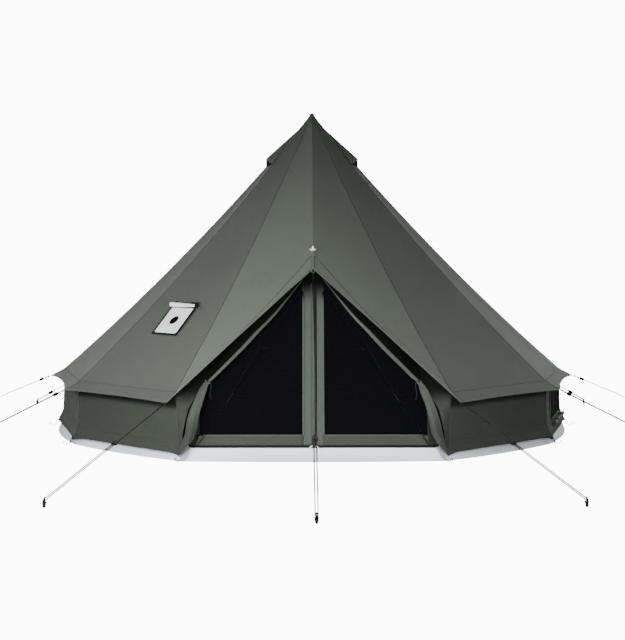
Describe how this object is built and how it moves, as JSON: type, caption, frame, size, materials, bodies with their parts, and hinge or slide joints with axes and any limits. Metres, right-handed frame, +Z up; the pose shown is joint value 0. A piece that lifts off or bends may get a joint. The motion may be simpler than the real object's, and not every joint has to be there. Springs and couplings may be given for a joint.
{
  "type": "bell tent",
  "caption": "Round canvas tent with a low wall, groundsheet, centre pole, A-frame entrance with mesh doors, stove jack, roof vents, window and guy lines.",
  "frame": {"origin": "on the ground, at the middle of the groundsheet's underside, under the centre pole", "axes": "+Z up, -Y out through the doors, +X to the right for someone looking at the doors"},
  "size_m": [5.8668, 6.8367, 2.4541],
  "materials": {
    "canvas": "matte sage-grey cotton canvas",
    "groundsheet": "pale coated sheet, slightly glossy",
    "mesh": "fine black insect mesh",
    "steel": "galvanised tube",
    "black_plastic": "moulded black plastic",
    "white_plastic": "moulded white plastic",
    "jack_cloth": "white heat-proof cloth",
    "rope": "thin grey braided cord with a tracer"
  },
  "bodies": {
    "tent": {"roof_canopy": "canvas", "wall_curtain": "canvas", "window_mesh": "mesh", "window_cover": "canvas", "groundsheet": "groundsheet", "pole_foot": "black_plastic", "centre_pole_lower": "steel", "centre_pole_upper": "steel", "pole_top_cup": "black_plastic", "a_frame_apex": "steel", "a_frame_leg_left": "steel", "a_frame_leg_right": "steel", "apex_washer": "white_plastic", "door_side_left": "canvas", "door_side_right": "canvas", "door_roll_left": "canvas", "door_roll_right": "canvas", "stove_jack_panel": "jack_cloth", "stove_jack_cover": "jack_cloth", "vent_hood_left": "canvas", "vent_hood_right": "canvas", "guy_rope_front": "rope", "guy_rope_back": "rope", "guy_rope_right_1": "rope", "guy_rope_right_2": "rope", "guy_rope_right_3": "rope", "guy_rope_right_4": "rope", "guy_rope_right_5": "rope", "guy_rope_left_1": "rope", "guy_rope_left_2": "rope", "guy_rope_left_3": "rope", "guy_rope_left_4": "rope", "guy_rope_left_5": "rope", "guy_stake_front": "black_plastic", "guy_stake_back": "black_plastic", "guy_stake_right_1": "black_plastic", "guy_stake_right_2": "black_plastic", "guy_stake_right_3": "black_plastic", "guy_stake_right_4": "black_plastic", "guy_stake_right_5": "black_plastic", "guy_stake_left_1": "black_plastic", "guy_stake_left_2": "black_plastic", "guy_stake_left_3": "black_plastic", "guy_stake_left_4": "black_plastic", "guy_stake_left_5": "black_plastic"},
    "door_left": {"mesh_door_left": "mesh"},
    "door_right": {"mesh_door_right": "mesh"},
    "slider": {"zip_slider": "white_plastic"},
    "runner_front": {"guy_runner_front": "black_plastic"},
    "runner_back": {"guy_runner_back": "black_plastic"},
    "runner_right_1": {"guy_runner_right_1": "black_plastic"},
    "runner_right_2": {"guy_runner_right_2": "black_plastic"},
    "runner_right_3": {"guy_runner_right_3": "black_plastic"},
    "runner_right_4": {"guy_runner_right_4": "black_plastic"},
    "runner_right_5": {"guy_runner_right_5": "black_plastic"},
    "runner_left_1": {"guy_runner_left_1": "black_plastic"},
    "runner_left_2": {"guy_runner_left_2": "black_plastic"},
    "runner_left_3": {"guy_runner_left_3": "black_plastic"},
    "runner_left_4": {"guy_runner_left_4": "black_plastic"},
    "runner_left_5": {"guy_runner_left_5": "black_plastic"}
  },
  "joints": [
    {"name": "door_left_swing", "type": "hinge", "parent": "tent", "child": "door_left", "pos_m": [-0.002, -1.22591, 1.21], "axis": [-0.5411, -0.3582, -0.7608], "range_deg": [0, 85]},
    {"name": "door_right_swing", "type": "hinge", "parent": "tent", "child": "door_right", "pos_m": [0.002, -1.22591, 1.21], "axis": [-0.5411, 0.3582, 0.7608], "range_deg": [0, 85]},
    {"name": "zip_slide", "type": "slide", "parent": "door_left", "child": "slider", "axis": [0, 0.426, 0.9047], "range_m": [0, 1.12]},
    {"name": "runner_front_slide", "type": "slide", "parent": "tent", "child": "runner_front", "axis": [0.0027, -0.9068, -0.4215], "range_m": [0, 0.7]},
    {"name": "runner_back_slide", "type": "slide", "parent": "tent", "child": "runner_back", "axis": [-0.0087, 0.9224, -0.3862], "range_m": [0, 0.8]},
    {"name": "runner_right_1_slide", "type": "slide", "parent": "tent", "child": "runner_right_1", "axis": [0.3166, -0.926, -0.2056], "range_m": [0, 0.89]},
    {"name": "runner_right_2_slide", "type": "slide", "parent": "tent", "child": "runner_right_2", "axis": [0.8031, -0.4537, -0.3862], "range_m": [0, 0.8]},
    {"name": "runner_right_3_slide", "type": "slide", "parent": "tent", "child": "runner_right_3", "axis": [0.9224, 0.0087, -0.3862], "range_m": [0, 0.8]},
    {"name": "runner_right_4_slide", "type": "slide", "parent": "tent", "child": "runner_right_4", "axis": [0.7713, 0.4568, -0.4431], "range_m": [0, 0.12]},
    {"name": "runner_right_5_slide", "type": "slide", "parent": "tent", "child": "runner_right_5", "axis": [0.4537, 0.8031, -0.3862], "range_m": [0, 0.8]},
    {"name": "runner_left_1_slide", "type": "slide", "parent": "tent", "child": "runner_left_1", "axis": [-0.3079, -0.9289, -0.2056], "range_m": [0, 0.89]},
    {"name": "runner_left_2_slide", "type": "slide", "parent": "tent", "child": "runner_left_2", "axis": [-0.7944, -0.4687, -0.3862], "range_m": [0, 0.8]},
    {"name": "runner_left_3_slide", "type": "slide", "parent": "tent", "child": "runner_left_3", "axis": [-0.9224, -0.0087, -0.3862], "range_m": [0, 0.8]},
    {"name": "runner_left_4_slide", "type": "slide", "parent": "tent", "child": "runner_left_4", "axis": [-0.7813, 0.4396, -0.4431], "range_m": [0, 0.12]},
    {"name": "runner_left_5_slide", "type": "slide", "parent": "tent", "child": "runner_left_5", "axis": [-0.4687, 0.7944, -0.3862], "range_m": [0, 0.8]}
  ]
}
